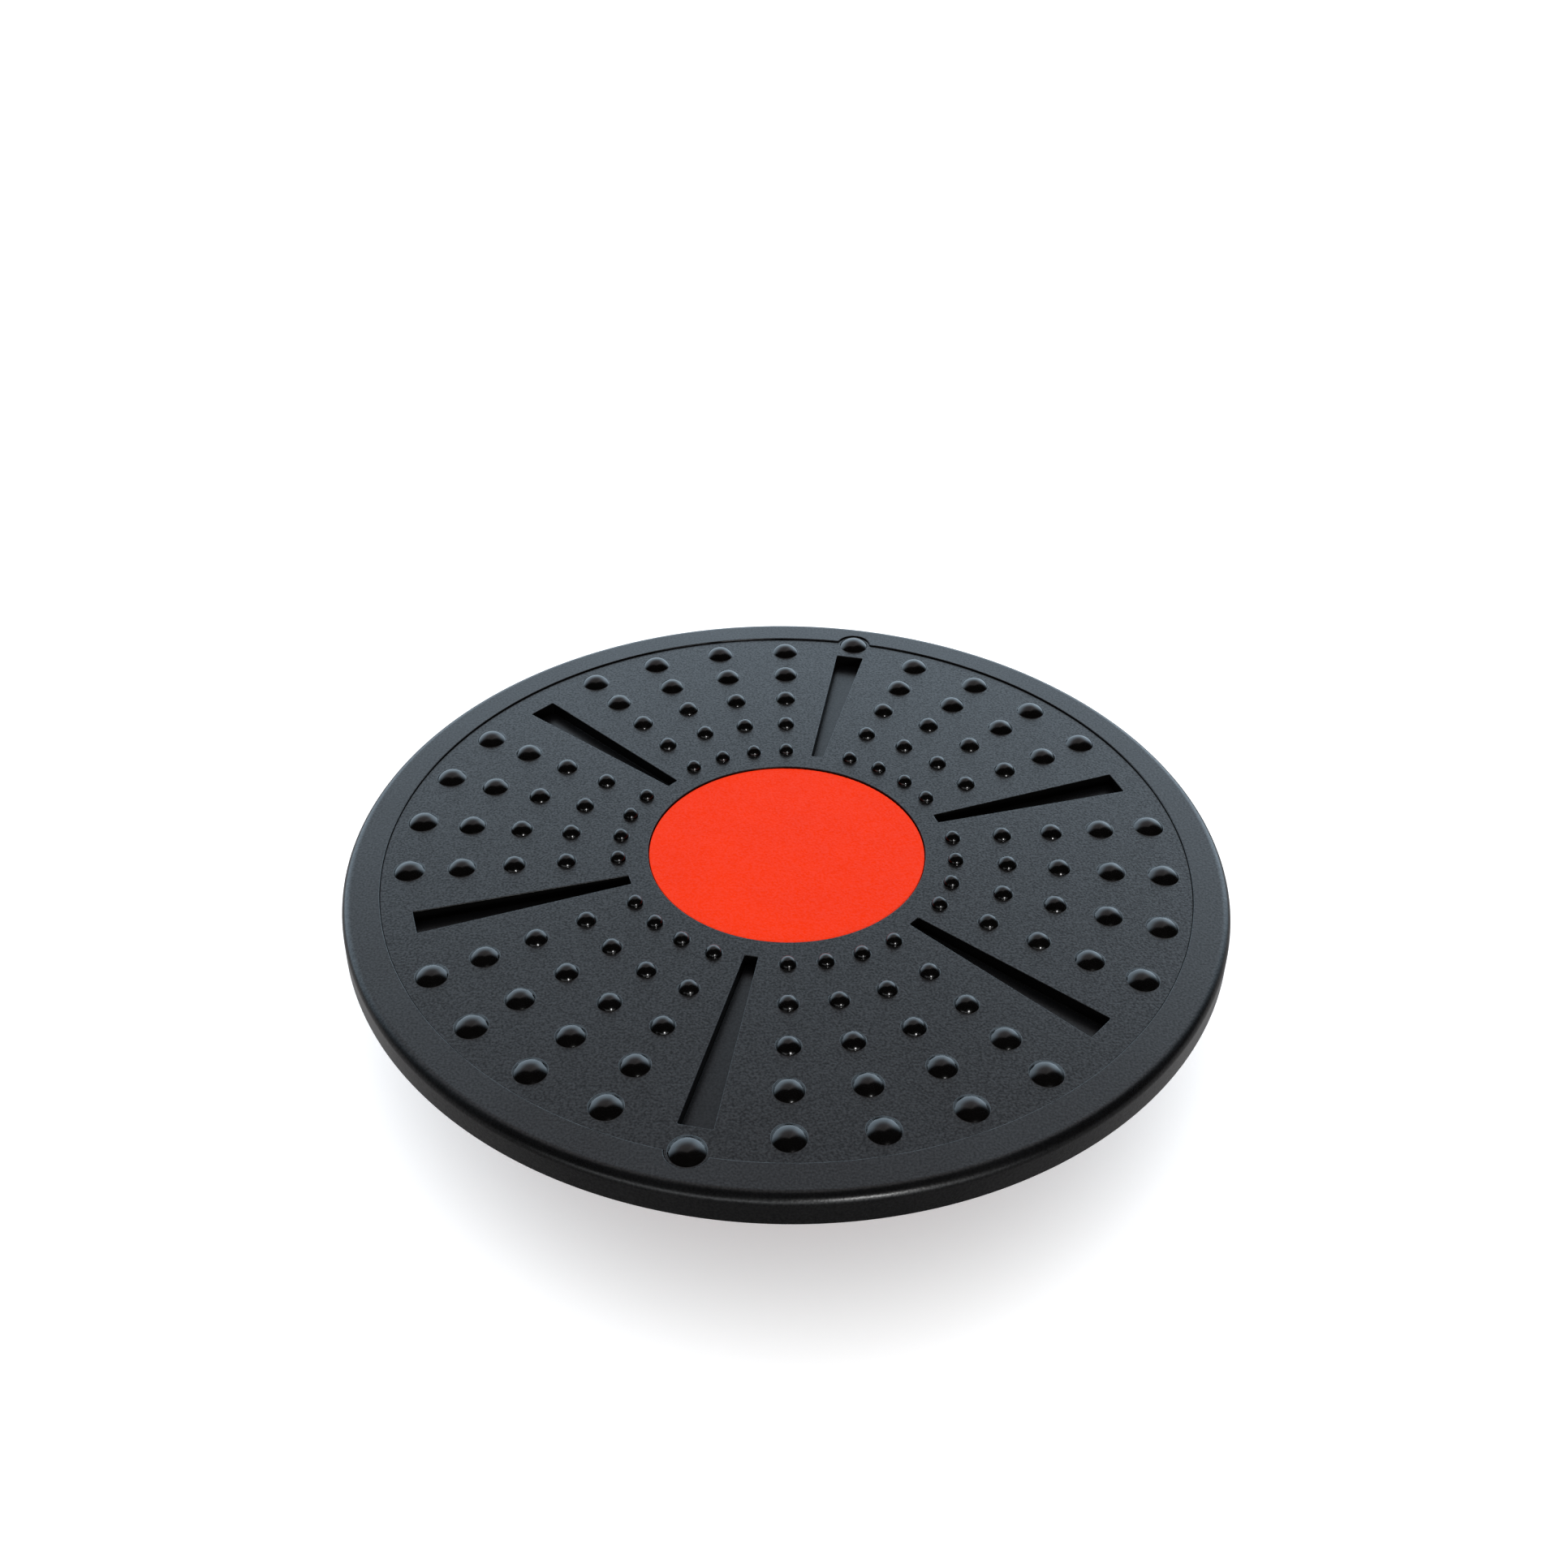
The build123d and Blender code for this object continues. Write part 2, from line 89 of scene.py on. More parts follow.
SLOT_R_IN = 73.5
SLOT_R_OUT = 168.1
SLOT_W_IN = 5.8
SLOT_W_OUT = 14.0
SLOT_FLOOR = FIELD - 6.0
SLOT_WALL = 2.0
SLOT_CORNER = 0.5
SLOT_ROOT = 0.4                          # fillet between a slot's wall and floor
EDGE = 0.3                               # small rounding of moulded edges

RIB = 1.8
RIB_FOOT = 63.0
RIB_LAP = 0.8                            # how far a rib's outline runs into skirt and rim
RIBS = 36
RIB_RINGS = (100.0, 132.0, 164.0)

# ---- hub sizes ------------------------------------------------------------------
CAP_R = cap_high.x
CAP_HOLE_R = CAP_R + 0.4
WEB_TOP = cap_high.z - 3.0
WEB_FOOT = node_box("upper_race_plate")[1].z
SKIRT_R_IN = 64.0
SKIRT_R_OUT = 66.5
SKIRT_FOOT = deck_low.z
BOSS_R = 18.0
BOSS_FOOT = bush_low.z
POCKET_R = 12.0
POCKET_FLOOR = bush_high.z - 1.5
BUSH_R = 6.5
SCREW_CIRCLE_R = 37.0
SCREWS = 6
SCREW_MOUTH_R = 4.0
SCREW_HOLE_R = 2.0
WINDOW_R = (22.9, 25.3)                  # slots for the cap's snap legs
WINDOW_WIDTH = 6.6
WINDOW_CORNER = 0.2
WINDOWS = 3

AROUND = 288                             # divisions of the large circles
HUB_AROUND = 72                          # of the bore and pocket
SKIRT_AROUND = 96                        # of the boss and skirt
DOME_AROUND = 40
SCREW_AROUND = 24
WELD = 1e-5


# ---- mesh building ----------------------------------------------------------------
class Skin:
    """Collects faces with their exact normals and welds corners that coincide."""

    def __init__(self):
        self.points = []
        self.known = {}
        self.faces = []
        self.normals = []
        self.kinds = []

    def corner(self, place):
        key = tuple(round(c / WELD) for c in place)
        if key not in self.known:
            self.known[key] = len(self.points)
            self.points.append(Vector(place))
        return self.known[key]

    def face(self, places, leans, kind):
        """Adds a face, turned so that its front is on the side its normals point to."""
        ids = [self.corner(p) for p in places]
        keep = [i for i in range(len(ids)) if ids[i] != ids[i - 1]]
        if len(keep) < 3:
            return
        ids = [ids[i] for i in keep]
        leans = [Vector(leans[i]) for i in keep]
        spots = [self.points[i] for i in ids]
        front = Vector((0, 0, 0))
        for a, b in zip(spots, spots[1:] + spots[:1]):
            front += (a - spots[0]).cross(b - spots[0])
        if front.dot(sum(leans, Vector((0, 0, 0)))) < 0:
            ids.reverse()
            leans.reverse()
        self.faces.append(ids)
        self.normals += [n.normalized() for n in leans]
        self.kinds.append(kind)

    def to_object(self, name, materials):
        """Makes the mesh object. materials maps each kind of face to its material."""
        mesh = bpy.data.meshes.new(name)
        mesh.from_pydata([p * MM for p in self.points], [], self.faces)
        kinds = list(materials)
        for kind in kinds:
            mesh.materials.append(materials[kind])
        mesh.polygons.foreach_set("material_index", [kinds.index(k) for k in self.kinds])
        mesh.polygons.foreach_set("use_smooth", [True] * len(self.faces))
        mesh.normals_split_custom_set(self.normals)
        piece = bpy.data.objects.new(name, mesh)
        bpy.context.scene.collection.objects.link(piece)
        return piece


def heading(degrees):
    """Unit vector in the XY plane."""
    return math.cos(math.radians(degrees)), math.sin(math.radians(degrees))


class Ring:
    """A circle that can be drawn at any offset from its radius."""

    def __init__(self, radius, count, centre=(0.0, 0.0)):
        self.radius = radius
        self.centre = centre
        self.outward = [heading(360 * i / count) for i in range(count)]

    def places(self, offset):
        x, y = self.centre
        reach = self.radius + offset
        return [(x + reach * u, y + reach * v) for u, v in self.outward]


class Rounded:
    """A convex polygon with rounded corners, turned about the origin."""

    def __init__(self, corners, radius, steps, turn):
        c, s = heading(turn)
        spots = [Vector((x * c - y * s, x * s + y * c)) for x, y in corners]
        self.radius = radius
        self.centres = []
        self.outward = []
        for i, spot in enumerate(spots):
            before = (spot - spots[i - 1]).normalized()
            after = (spots[(i + 1) % len(spots)] - spot).normalized()
            n1 = Vector((before.y, -before.x))
            n2 = Vector((after.y, -after.x))
            centre = spot - (n1 + n2) * radius / (1 + n1.dot(n2))
            start = math.degrees(math.atan2(n1.y, n1.x))
            bend = math.degrees(n1.angle(n2))
            for k in range(steps + 1):
                self.centres.append(centre)
                self.outward.append(heading(start + bend * k / steps))

    def places(self, offset):
        reach = self.radius + offset
        return [(c.x + reach * u, c.y + reach * v) for c, (u, v) in zip(self.centres, self.outward)]


class FieldEdge:
    """The circle round the patterned field with its two bulges round the markers."""

    def __init__(self, long_steps, bulge_steps):
        self.long_steps = long_steps
        self.bulge_steps = bulge_steps
        self.outward = [outward for _, _, outward in self.walk(0.0)]

    def walk(self, offset):
        big = STEP_R + offset
        small = MARKER_FIELD_R + offset
        cross = (big ** 2 + MARKER_R ** 2 - small ** 2) / (2 * big * MARKER_R)
        half_gap = math.degrees(math.acos(cross))
        cross = (small ** 2 + MARKER_R ** 2 - big ** 2) / (2 * small * MARKER_R)
        half_bulge = 180 - math.degrees(math.acos(cross))
        for slot in MARKER_SLOTS:
            angle = PHASE + 360 * slot / SLOTS
            u, v = heading(angle)
            for k in range(self.bulge_steps):
                way = heading(angle - half_bulge + 2 * half_bulge * k / self.bulge_steps)
                yield MARKER_R * u + small * way[0], MARKER_R * v + small * way[1], way
            long_turn = 180 - 2 * half_gap
            for k in range(self.long_steps):
                way = heading(angle + half_gap + long_turn * k / self.long_steps)
                yield big * way[0], big * way[1], way

    def places(self, offset):
        return [(x, y) for x, y, _ in self.walk(offset)]


def bend(centre, radius, start, end, steps, side=1):
    """Arc of a profile: (offset, height, outward lean, upward lean). side -1 is a hollow fillet."""
    stops = []
    for k in range(steps + 1):
        u, v = heading(start + (end - start) * k / steps)
        stops.append((centre[0] + radius * u, centre[1] + radius * v, side * u, side * v))
    return stops


def sweep(skin, loop, profile, kind):
    """Skins a profile of (offset, height, outward lean, upward lean) carried round a loop."""
    rings = []
    for offset, z, out, up in profile:
        spots = [(x, y, z) for x, y in loop.places(offset)]
        leans = [(out * u, out * v, up) for u, v in loop.outward]
        rings.append((spots, leans))
    count = len(loop.outward)
    for (a, lean_a), (b, lean_b) in zip(rings, rings[1:]):
        for i in range(count):
            j = (i + 1) % count
            skin.face([a[i], a[j], b[j], b[i]], [lean_a[i], lean_a[j], lean_b[j], lean_b[i]], kind)


def triangles(loops):
    """Places, triangles and drawn edges of the flat area that closed loops of (x, y) divide."""
    spots = []
    edges = []
    for loop in loops:
        first = len(spots)
        spots += loop
        edges += [(first + i, first + (i + 1) % len(loop)) for i in range(len(loop))]
    made = delaunay_2d_cdt([Vector(s) for s in spots], edges, [], 0, 1e-6)
    places = [spots[o[0]] if o else (v.x, v.y) for v, o in zip(made[0], made[3])]
    drawn = {frozenset(e) for e, o in zip(made[1], made[4]) if o}
    return places, made[2], drawn


def flat(skin, z, up, loops, kind):
    """Flat face at height z inside the first loop and outside the others, which lie in it."""
    places, faces, drawn = triangles(loops)
    sides = {}
    for number, face in enumerate(faces):
        for edge in zip(face, face[1:] + face[:1]):
            sides.setdefault(frozenset(edge), []).append(number)
    inside = {}
    for edge, pair in sides.items():
        if len(pair) == 1:
            inside[pair[0]] = edge in drawn
    reached = list(inside)
    for number in reached:
        face = faces[number]
        for edge in zip(face, face[1:] + face[:1]):
            edge = frozenset(edge)
            for other in sides[edge]:
                if other not in inside:
                    inside[other] = inside[number] != (edge in drawn)
                    reached.append(other)
    for number, face in enumerate(faces):
        if inside[number]:
            skin.face([(*places[i], z) for i in face], [(0, 0, up)] * len(face), kind)


# ---- deck moulding -------------------------------------------------------------------
def dome_profile(diameter):
    """Root fillet and spherical cap, from the field to the top."""
    half = diameter / 2
    ball = (half ** 2 + DOME_HEIGHT ** 2) / (2 * DOME_HEIGHT)
    centre_z = DOME_HEIGHT - ball
    fillet_r = math.sqrt((ball + DOME_ROOT) ** 2 - (DOME_ROOT - centre_z) ** 2)
    meet = math.degrees(math.atan2(DOME_ROOT - centre_z, fillet_r))
    root = bend((fillet_r - half, FIELD + DOME_ROOT), DOME_ROOT, 270, 180 + meet, 3, side=-1)
    cap = bend((-half, FIELD + centre_z), ball, meet, 90, 9)
    return root + cap


def add_domes(skin):
    """All domes and markers. Returns the loops where they meet the field."""
    roots = []
    spots = []
    for ring, diameter in enumerate(DOME_DIAMETERS):
        for spoke in range(SPOKES):
            if spoke % SLOT_EVERY:
                spots.append((DOME_R1 + ring * DOME_PITCH, PHASE + spoke * 360 / SPOKES, diameter))
    for slot in MARKER_SLOTS:
        spots.append((MARKER_R, PHASE + slot * 360 / SLOTS, MARKER_DIAMETER))
    for r, angle, diameter in spots:
        u, v = heading(angle)
        loop = Ring(diameter / 2, DOME_AROUND, (r * u, r * v))
        profile = dome_profile(diameter)
        sweep(skin, loop, profile, "polish")
        roots.append(loop.places(profile[0][0]))
    return roots


def slot_loop(index, grow=0.0):
    """Outline of one wedge slot, or of the tray under it when grown by the wall."""
    r_in = SLOT_R_IN - grow
    r_out = SLOT_R_OUT + grow
    w_in = SLOT_W_IN / 2 + grow
    w_out = SLOT_W_OUT / 2 + grow
    corners = [(r_in, -w_in), (r_out, -w_out), (r_out, w_out), (r_in, w_in)]
    return Rounded(corners, SLOT_CORNER, 4, PHASE + index * 360 / SLOTS)


def rounded_lip(top, radius=EDGE, steps=3):
    """Profile from a surface at height top over a small rounded edge."""
    return bend((radius, top - radius), radius, 90, 180, steps)


def add_slots(skin):
    """Walls and floors of the wedge slots. Returns their loops at the field."""
    mouths = []
    lip = rounded_lip(FIELD)
    foot = (-SLOT_ROOT, SLOT_FLOOR + SLOT_ROOT)
    wall = [lip[-1]] + bend(foot, SLOT_ROOT, 0, -90, 3, side=-1)
    for index in range(SLOTS):
        loop = slot_loop(index)
        sweep(skin, loop, lip, "band")
        sweep(skin, loop, wall, "slot_wall")
        flat(skin, SLOT_FLOOR, 1, [loop.places(wall[-1][0])], "slot_floor")
        mouths.append(loop.places(lip[0][0]))
    return mouths


def add_field(skin):
    """Patterned field, its edge step and groove, the smooth outer band and the cap's seat edge."""
    edge = FieldEdge(AROUND // 2, 24)
    lip = rounded_lip(DECK_TOP, STEP_LIP, 4)
    low = FIELD - GROOVE_DEPTH
    sweep(skin, edge, lip + [(0, FIELD, -1, 0)], "band")
    sweep(skin, edge, [(0, FIELD, -1, 0), (0, low, -1, 0)], "slot_wall")
    sweep(skin, edge, [(0, low, 0, 1), (-GROOVE_WIDTH, low, 0, 1)], "slot_wall")
    sweep(skin, edge, [(-GROOVE_WIDTH, low, 1, 0), (-GROOVE_WIDTH, FIELD, 1, 0)], "slot_wall")
    seat = Ring(CAP_HOLE_R, AROUND)
    sweep(skin, seat, rounded_lip(FIELD) + [(0, WEB_TOP, -1, 0)], "band")
    holes = [seat.places(EDGE)] + add_domes(skin) + add_slots(skin)
    flat(skin, FIELD, 1, [edge.places(-GROOVE_WIDTH)] + holes, "grain")
    rim = Ring(RIM_R - RIM_ROUND, AROUND)
    flat(skin, DECK_TOP, 1, [rim.places(0), edge.places(STEP_LIP)], "band")


def add_rim(skin):
    """Round-over, outer wall and rounded foot of the rim."""
    rim = Ring(RIM_R - RIM_ROUND, AROUND)
    over = bend((0, DECK_TOP - RIM_ROUND), RIM_ROUND, 90, 0, 12)
    low_offset = LOWER_R - (RIM_R - RIM_ROUND) - RIM_FOOT_ROUND
    under = bend((low_offset, RIM_FOOT + RIM_FOOT_ROUND), RIM_FOOT_ROUND, 0, -90, 5)
    sweep(skin, rim, over + under, "band")


def underside_height(x, y):
    """Height of the underside at a place: hub boss, web, skirt, ribs, slot trays, rim foot."""
    r = math.hypot(x, y)
    if r < BOSS_R:
        return BOSS_FOOT
    if r < SKIRT_R_IN:
        return WEB_FOOT
    if r < SKIRT_R_OUT:
        return SKIRT_FOOT
    if r > RIM_R - RIM_WALL:
        return RIM_FOOT
    if any(abs(r - ring) < RIB / 2 for ring in RIB_RINGS):
        return RIB_FOOT
    turn = (math.degrees(math.atan2(y, x)) - PHASE) % (360 / RIBS)
    turn = min(turn, 360 / RIBS - turn)
    if r * math.sin(math.radians(turn)) < RIB / 2:
        return RIB_FOOT
    turn = (math.degrees(math.atan2(y, x)) - PHASE) % (360 / SLOTS)
    turn = min(turn, 360 / SLOTS - turn)
    along = r * math.cos(math.radians(turn))
    across = r * math.sin(math.radians(turn))
    share = (along - SLOT_R_IN) / (SLOT_R_OUT - SLOT_R_IN)
    half = (SLOT_W_IN + (SLOT_W_OUT - SLOT_W_IN) * share) / 2 + SLOT_WALL
    if SLOT_R_IN - SLOT_WALL < along < SLOT_R_OUT + SLOT_WALL and across < half:
        return SLOT_FLOOR - SLOT_WALL
    return UNDERSIDE


def hub_holes():
    """Loops of the screw holes and the windows for the snap legs."""
    screws = []
    for i in range(SCREWS):
        u, v = heading(360 * i / SCREWS)
        screws.append(Ring(SCREW_HOLE_R, SCREW_AROUND, (SCREW_CIRCLE_R * u, SCREW_CIRCLE_R * v)))
    near, far = WINDOW_R
    half = WINDOW_WIDTH / 2
    corners = [(near, -half), (far, -half), (far, half), (near, half)]
    first = 360 / SPOKES
    windows = [Rounded(corners, WINDOW_CORNER, 2, first + 360 * i / WINDOWS) for i in range(WINDOWS)]
    return screws, windows


def add_hub(skin):
    """Web under the cap with its holes, and the pocket and bore for the king bolt."""
    screws, windows = hub_holes()
    mouth = SCREW_MOUTH_R - SCREW_HOLE_R
    cone = [(mouth, WEB_TOP, -1, 1), (0, WEB_TOP - mouth, -1, 1)]
    for loop in screws:
        sweep(skin, loop, cone, "under")
        sweep(skin, loop, [(0, WEB_TOP - mouth, -1, 0), (0, WEB_FOOT, -1, 0)], "under")
    for loop in windows:
        sweep(skin, loop, [(0, WEB_TOP, -1, 0), (0, WEB_FOOT, -1, 0)], "under")
    pocket = Ring(POCKET_R, HUB_AROUND)
    bore = Ring(BUSH_R, HUB_AROUND)
    holes = [loop.places(mouth) for loop in screws] + [loop.places(0) for loop in windows]
    flat(skin, WEB_TOP, 1, [Ring(CAP_HOLE_R, AROUND).places(0), pocket.places(0)] + holes, "under")
    sweep(skin, pocket, [(0, WEB_TOP, -1, 0), (0, POCKET_FLOOR, -1, 0)], "under")
    flat(skin, POCKET_FLOOR, 1, [pocket.places(0), bore.places(0)], "under")
    sweep(skin, bore, [(0, POCKET_FLOOR, -1, 0), (0, BOSS_FOOT, -1, 0)], "under")


def add_underside(skin):
    """Ribbed underside: flat terraces joined by upright walls."""
    screws, windows = hub_holes()
    outer = Ring(LOWER_R - RIM_FOOT_ROUND, AROUND).places(0)
    gaps = [loop.places(0) for loop in screws + windows]
    loops = [outer, Ring(BUSH_R, HUB_AROUND).places(0)] + gaps
    for r in (BOSS_R, SKIRT_R_IN, SKIRT_R_OUT):
        loops.append(Ring(r, SKIRT_AROUND).places(0))
    loops.append(Ring(RIM_R - RIM_WALL, AROUND).places(0))
    for r in RIB_RINGS:
        loops.append(Ring(r - RIB / 2, AROUND // 2).places(0))
        loops.append(Ring(r + RIB / 2, AROUND // 2).places(0))
    for i in range(RIBS):
        u, v = heading(PHASE + 360 * i / RIBS)
        near = SKIRT_R_OUT - RIB_LAP
        far = RIM_R - RIM_WALL + RIB_LAP
        corners = [(near, -RIB / 2), (far, -RIB / 2), (far, RIB / 2), (near, RIB / 2)]
        loops.append([(x * u - y * v, x * v + y * u) for x, y in corners])
    for i in range(SLOTS):
        loops.append(slot_loop(i, SLOT_WALL).places(0))
    places, faces, _ = triangles(loops)
    heights = {}
    levels = {}
    borders = {}
    for number, face in enumerate(faces):
        x = sum(places[i][0] for i in face) / len(face)
        y = sum(places[i][1] for i in face) / len(face)
        if math.hypot(x, y) < BUSH_R * 0.999 or any(holds(gap, x, y) for gap in gaps):
            continue
        heights[number] = underside_height(x, y)
        for i, j in zip(face, face[1:] + face[:1]):
            levels.setdefault(i, set()).add(heights[number])
            borders.setdefault(frozenset((i, j)), []).append(number)
    for number, z in heights.items():
        skin.face([(*places[i], z) for i in faces[number]], [(0, 0, -1)] * len(faces[number]), "under")
    for border, sides in borders.items():
        if len(sides) == 2 and heights[sides[0]] != heights[sides[1]]:
            add_terrace_wall(skin, places, levels, border, [(heights[n], faces[n]) for n in sides])


def holds(loop, x, y):
    """True if a convex anticlockwise loop holds the place."""
    pairs = zip(loop, loop[1:] + loop[:1])
    return all((b[0] - a[0]) * (y - a[1]) > (b[1] - a[1]) * (x - a[0]) for a, b in pairs)


def add_terrace_wall(skin, places, levels, border, sides):
    """Upright wall between two terraces, with a corner wherever another level meets it."""
    (low, _), (high, open_face) = sorted(sides)
    i, j = border
    up_side = [(*places[i], z) for z in sorted(levels[i]) if low <= z <= high]
    down_side = [(*places[j], z) for z in sorted(levels[j], reverse=True) if low <= z <= high]
    run = Vector(places[j]) - Vector(places[i])
    lean = Vector((run.y, -run.x))
    middle = sum((Vector(places[k]) for k in open_face), Vector((0, 0))) / len(open_face)
    if lean.dot(middle - Vector(places[i])) < 0:
        lean = -lean
    lean.normalize()
    wall = up_side + down_side
    skin.face(wall, [(lean.x, lean.y, 0)] * len(wall), "under")


def deck_moulding(materials):
    """The whole deck as one closed mesh."""
    skin = Skin()
    add_field(skin)
    add_rim(skin)
    add_hub(skin)
    add_underside(skin)
    return skin.to_object("deck_moulding", materials)


# ---- materials -----------------------------------------------------------------------
def add_node(tree, kind, links=(), **settings):
    """Adds a shader node. links pairs an input's name or number with an output socket."""
    node = tree.nodes.new(kind)
    for key, value in settings.items():
        setattr(node, key, value)
    for key, source in links:
        tree.links.new(source, node.inputs[key])
    return node


def noise(tree, place, size, detail=2.0, harshness=0.5):
    """Noise whose features are about size millimetres across, as a 0 to 1 value."""
    node = add_node(tree, "ShaderNodeTexNoise", [("Vector", place)])
    node.inputs["Scale"].default_value = 0.5 / (size * MM)
    node.inputs["Detail"].default_value = detail
    node.inputs["Roughness"].default_value = harshness
    return node.outputs["Fac"]


def ramp(tree, value, low, high, at=(0.3, 0.7)):
    """Maps a noise value to a number between low and high."""
    node = add_node(tree, "ShaderNodeMapRange", [("Value", value)])
    node.inputs["From Min"].default_value = at[0]
    node.inputs["From Max"].default_value = at[1]
    node.inputs["To Min"].default_value = low
    node.inputs["To Max"].default_value = high
    return node.outputs["Result"]


def tinted(tree, value, dark, light, at=(0.3, 0.7)):
    """Mixes two colours by a noise value."""
    node = add_node(tree, "ShaderNodeValToRGB", [("Fac", value)])
    node.color_ramp.elements[0].position = at[0]
    node.color_ramp.elements[0].color = (*dark, 1)
    node.color_ramp.elements[1].position = at[1]
    node.color_ramp.elements[1].color = (*light, 1)
    return node.outputs["Color"]


def surface(name, dark, light, rough, grain, depth, drift=25.0, wave=0.0, metal=0.0,
            specular=(0.5, 0.5)):
    """Moulded or machined surface.

    dark and light bound the colour and rough = (low, high) the roughness, both in broad patches
    of the size drift, with a slow waviness of the height wave. grain is the size of the fine
    texture, depth its height and specular = (low, high) its change of gloss. In millimetres.
    """
    mat = bpy.data.materials.new(name)
    mat.use_nodes = True
    tree = mat.node_tree
    shader = tree.nodes["Principled BSDF"]
    place = add_node(tree, "ShaderNodeTexCoord").outputs["Object"]
    broad = noise(tree, place, drift, 4.0, 0.6)
    tree.links.new(tinted(tree, broad, dark, light), shader.inputs["Base Color"])
    tree.links.new(ramp(tree, broad, *rough), shader.inputs["Roughness"])
    fine = noise(tree, place, grain, 1.0, 0.5)
    height = ramp(tree, fine, 0.0, depth * MM)
    swell = ramp(tree, noise(tree, place, drift, 1.0, 0.4), 0.0, wave * MM)
    relief = add_node(tree, "ShaderNodeMath", [(0, height), (1, swell)], operation="ADD")
    bump = add_node(tree, "ShaderNodeBump", [("Height", relief.outputs[0])])
    bump.inputs["Strength"].default_value = 1.0
    bump.inputs["Distance"].default_value = 1.0
    tree.links.new(bump.outputs["Normal"], shader.inputs["Normal"])
    shader.inputs["Metallic"].default_value = metal
    if specular[0] == specular[1]:
        shader.inputs["Specular IOR Level"].default_value = specular[0]
    else:
        tree.links.new(ramp(tree, fine, *specular), shader.inputs["Specular IOR Level"])
    return mat


CHARCOAL = ((0.0016, 0.0016, 0.0018), (0.0026, 0.0026, 0.0029))
JET = ((0.0010, 0.0009, 0.0009), (0.0016, 0.0014, 0.0014))
deck_materials = {
    "grain": surface("deck_grain", *CHARCOAL, (0.27, 0.33), 0.5, 0.028, 30.0, 0.03,
                     specular=(0.22, 0.60)),
    "band": surface("deck_band", *CHARCOAL, (0.25, 0.33), 0.5, 0.014, 22.0, 0.10,
                    specular=(0.32, 0.60)),
    "polish": surface("deck_dome_polish", *JET, (0.13, 0.19), 2.0, 0.002, 8.0),
    "slot_wall": surface("deck_slot_wall", *JET, (0.45, 0.55), 0.8, 0.004, 20.0,
                         specular=(0.12, 0.12)),
    "slot_floor": surface("deck_slot_floor", *CHARCOAL, (0.28, 0.34), 0.5, 0.010, 25.0,
                          specular=(0.26, 0.38)),
    "under": surface("deck_underside", *CHARCOAL, (0.34, 0.44), 0.9, 0.010),
}
RED_CAP = ((0.71, 0.025, 0.0010), (0.75, 0.029, 0.0016))
RED_ROCKER = ((0.74, 0.012, 0.004), (0.80, 0.018, 0.006))
RUBBER = ((0.010, 0.010, 0.011), (0.018, 0.018, 0.019))
ZINC = ((0.50, 0.51, 0.53), (0.62, 0.62, 0.61))
SCREW_STEEL = ((0.46, 0.47, 0.49), (0.58, 0.58, 0.58))
BALL_STEEL = ((0.62, 0.63, 0.64), (0.70, 0.70, 0.71))
NYLON = ((0.66, 0.64, 0.56), (0.74, 0.72, 0.65))
node_materials = {
    "center_cap": surface("cap_red", *RED_CAP, (0.50, 0.60), 0.5, 0.050, 20.0, 0.02,
                          specular=(0.02, 0.12)),
    "rocker_dome": surface("rocker_red", *RED_ROCKER, (0.26, 0.34), 0.8, 0.006, 25.0, 0.03),
    "rocker_lid": surface("lid_black", *CHARCOAL, (0.30, 0.40), 0.8, 0.010, 25.0, 0.02),
    "foot_pad": surface("pad_rubber", *RUBBER, (0.70, 0.85), 0.5, 0.03),
    "dust_ring": surface("ring_rubber", *RUBBER, (0.65, 0.80), 0.5, 0.02),
}
zinc = surface("zinc_plate", *ZINC, (0.24, 0.36), 0.6, 0.004, 8.0, metal=1.0)
screw_steel = surface("screw_steel", *SCREW_STEEL, (0.22, 0.34), 0.5, 0.003, 4.0, metal=1.0)
ball_steel = surface("ball_steel", *BALL_STEEL, (0.06, 0.12), 0.8, 0.001, 4.0, metal=1.0)
nylon = surface("nylon_natural", *NYLON, (0.36, 0.48), 0.7, 0.01, 10.0)
for name in ("upper_race_plate", "lower_race_plate", "king_nut_washer"):
    node_materials[name] = zinc
for name in ("upper_race_screws", "lower_race_screws", "lid_screws", "king_bolt", "king_lock_nut"):
    node_materials[name] = screw_steel
for name in ("hub_bush", "ball_cage", "hub_thrust_washer", "king_thrust_washer"):
    node_materials[name] = nylon
node_materials["bearing_balls"] = ball_steel

for name, mat in node_materials.items():
    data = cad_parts[name].data
    data.materials.clear()
    data.materials.append(mat)

deck = deck_moulding(deck_materials)
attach(deck, "deck")
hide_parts("deck_plate")


# ---- floor, light and camera -------------------------------------------------------------
FLOOR_HALF = 9.0                         # in metres
FLOOR_DROP = 0.0002                      # in metres, so the foot doesn't share the floor's plane
FLOOR_PALE = ((0.89, 0.89, 0.89), (0.91, 0.91, 0.91))
FLOOR_LIFT = 0.35                        # faint glow of the floor that keeps the shadow light


def make_floor():
    """Pale floor just under the foot."""
    half = FLOOR_HALF
    corners = [(-half, -half), (half, -half), (half, half), (-half, half)]
    mesh = bpy.data.meshes.new("floor")
    mesh.from_pydata([(x, y, -FLOOR_DROP) for x, y in corners], [], [(0, 1, 2, 3)])
    floor = bpy.data.objects.new("floor", mesh)
    bpy.context.scene.collection.objects.link(floor)
    pale = surface("floor_pale", *FLOOR_PALE, (0.85, 0.95), 30.0, 0.0, 900.0)
    shader = pale.node_tree.nodes["Principled BSDF"]
    shader.inputs["Emission Color"].default_value = (1.0, 1.0, 1.0, 1.0)
    shader.inputs["Emission Strength"].default_value = FLOOR_LIFT
    mesh.materials.append(pale)
    floor.visible_glossy = False


